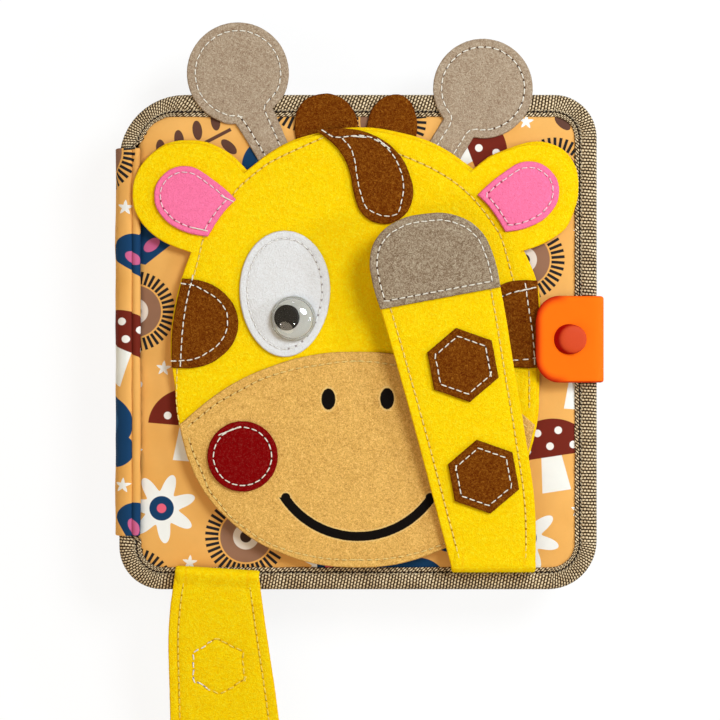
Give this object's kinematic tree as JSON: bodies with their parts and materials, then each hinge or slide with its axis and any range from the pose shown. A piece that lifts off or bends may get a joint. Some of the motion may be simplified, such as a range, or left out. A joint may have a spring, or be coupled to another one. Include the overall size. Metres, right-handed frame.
{
  "type": "activity book",
  "caption": "Square felt and fabric activity book: bound covers and leaves on a folding spine, giraffe face with swinging legs over googly eyes, snap strap.",
  "frame": {"origin": "middle of the back cover's outer face, on which the closed book lies", "axes": "+X to the fore-edge and the strap, +Y to the top edge, +Z out of the front cover"},
  "size_m": [0.2, 0.369, 0.0531],
  "materials": {
    "yellow_felt": "needle-punched felt",
    "pink_felt": "needle-punched felt",
    "brown_felt": "needle-punched felt",
    "taupe_felt": "needle-punched felt",
    "tan_felt": "needle-punched felt with a printed smile and nostrils",
    "red_felt": "needle-punched felt",
    "white_felt": "needle-punched felt",
    "blue_felt": "needle-punched felt",
    "green_felt": "needle-punched felt",
    "orange_strap": "smooth bright strap fabric",
    "print_fabric": null,
    "leaf_fabric": "plain brushed fabric",
    "woven_tape": "basket-woven tape, dark brown and beige",
    "red_snap": "satin moulded plastic",
    "white_plastic": "glossy moulded plastic",
    "clear_plastic": "clear moulded plastic",
    "black_plastic": "glossy plastic",
    "zip_metal": "plated zinc slider"
  },
  "bodies": {
    "back_cover": {"back_cover_panel": "print_fabric", "back_cover_binding": "woven_tape", "spine_flap_back": "print_fabric"},
    "spine": {"spine_wall": "print_fabric"},
    "front_cover": {"front_cover_panel": "print_fabric", "front_cover_binding": "woven_tape", "spine_flap_front": "print_fabric", "head_backing": "yellow_felt", "head_front": "yellow_felt", "inner_ear_left": "pink_felt", "inner_ear_right": "pink_felt", "ossicone_left": "taupe_felt", "ossicone_right": "taupe_felt", "tuft_left": "brown_felt", "tuft_right": "brown_felt", "forelock": "brown_felt", "side_spot_left": "brown_felt", "side_spot_right": "brown_felt", "eye_white_left": "white_felt", "eye_white_right": "white_felt", "googly_base_left": "white_plastic", "googly_base_right": "white_plastic", "googly_dome_left": "clear_plastic", "googly_dome_right": "clear_plastic", "muzzle": "tan_felt", "cheek_left": "red_felt", "cheek_right": "red_felt", "leg_root_left": "yellow_felt", "leg_root_right": "yellow_felt", "snap_stud": "red_snap"},
    "page_1": {"page_1_panel": "leaf_fabric", "page_1_binding": "woven_tape", "clock_brad": "white_plastic"},
    "page_2": {"page_2_panel": "leaf_fabric", "page_2_binding": "woven_tape", "pocket_panel": "blue_felt", "zip_chain": "woven_tape"},
    "page_3": {"page_3_panel": "leaf_fabric", "page_3_binding": "woven_tape", "shape_circle": "red_felt", "shape_square": "blue_felt", "shape_triangle": "green_felt"},
    "clock_hand": {"clock_hand": "red_felt"},
    "zip_slider": {"zip_slider": "zip_metal"},
    "leg_left": {"leg_left_back": "yellow_felt", "leg_left_front": "yellow_felt", "leg_left_hoof": "taupe_felt", "leg_left_spot_low": "brown_felt", "leg_left_spot_high": "brown_felt"},
    "leg_right": {"leg_right_back": "yellow_felt", "leg_right_front": "yellow_felt", "leg_right_hoof": "taupe_felt", "leg_right_spot_low": "brown_felt", "leg_right_spot_high": "brown_felt"},
    "strap_riser": {"strap_riser": "orange_strap"},
    "strap_tab": {"strap_tab": "orange_strap", "snap_cap": "red_snap", "snap_socket": "red_snap"},
    "pupil_left": {"pupil_left": "black_plastic"},
    "pupil_right": {"pupil_right": "black_plastic"}
  },
  "joints": [
    {"name": "spine_fold", "type": "hinge", "parent": "back_cover", "child": "spine", "pos_m": [-0.0991, 0, 0.0006], "axis": [0, -1, 0], "range_deg": [0, 45]},
    {"name": "cover_fold", "type": "hinge", "parent": "spine", "child": "front_cover", "pos_m": [-0.0991, 0, 0.0337], "axis": [0, -1, 0], "range_deg": [0, 134]},
    {"name": "page_1_turn", "type": "hinge", "parent": "back_cover", "child": "page_1", "pos_m": [-0.0979, 0, 0.0244], "axis": [0, -1, 0], "range_deg": [0, 90]},
    {"name": "page_2_turn", "type": "hinge", "parent": "back_cover", "child": "page_2", "pos_m": [-0.0979, 0, 0.018], "axis": [0, -1, 0], "range_deg": [0, 90]},
    {"name": "page_3_turn", "type": "hinge", "parent": "back_cover", "child": "page_3", "pos_m": [-0.0979, 0, 0.0116], "axis": [0, -1, 0], "range_deg": [0, 90]},
    {"name": "leg_left_swing", "type": "hinge", "parent": "front_cover", "child": "leg_left", "pos_m": [-0.0576, -0.0935, 0.0387], "axis": [0.9981, -0.061, 0], "range_deg": [-189.2, 0]},
    {"name": "leg_right_swing", "type": "hinge", "parent": "front_cover", "child": "leg_right", "pos_m": [0.0553, -0.0935, 0.0387], "axis": [1, 0, 0], "range_deg": [0, 189.2]},
    {"name": "strap_fold_low", "type": "hinge", "parent": "back_cover", "child": "strap_riser", "pos_m": [0.0994, 0.0011, 0.0012], "axis": [0, 1, 0], "range_deg": [0, 85]},
    {"name": "strap_fold_high", "type": "hinge", "parent": "strap_riser", "child": "strap_tab", "pos_m": [0.0994, 0.0011, 0.0385], "axis": [0, 1, 0], "range_deg": [0, 80]},
    {"name": "pupil_left_roll", "type": "hinge", "parent": "front_cover", "child": "pupil_left", "pos_m": [-0.02648, 0.00951, 0.0391], "axis": [0, 0, 1], "continuous": true},
    {"name": "pupil_right_roll", "type": "hinge", "parent": "front_cover", "child": "pupil_right", "pos_m": [0.02568, 0.00951, 0.0391], "axis": [0, 0, 1], "continuous": true},
    {"name": "clock_hand_turn", "type": "hinge", "parent": "page_1", "child": "clock_hand", "pos_m": [-0.0023, 0, 0.0244], "axis": [0, 0, 1], "continuous": true},
    {"name": "zip_run", "type": "slide", "parent": "page_2", "child": "zip_slider", "axis": [1, 0, 0], "range_m": [0, 0.095]}
  ],
  "couplings": [
    {"joint": "page_1_turn", "follows": "cover_fold", "ratio": 0.575},
    {"joint": "page_2_turn", "follows": "cover_fold", "ratio": 0.41},
    {"joint": "page_3_turn", "follows": "cover_fold", "ratio": 0.35}
  ]
}
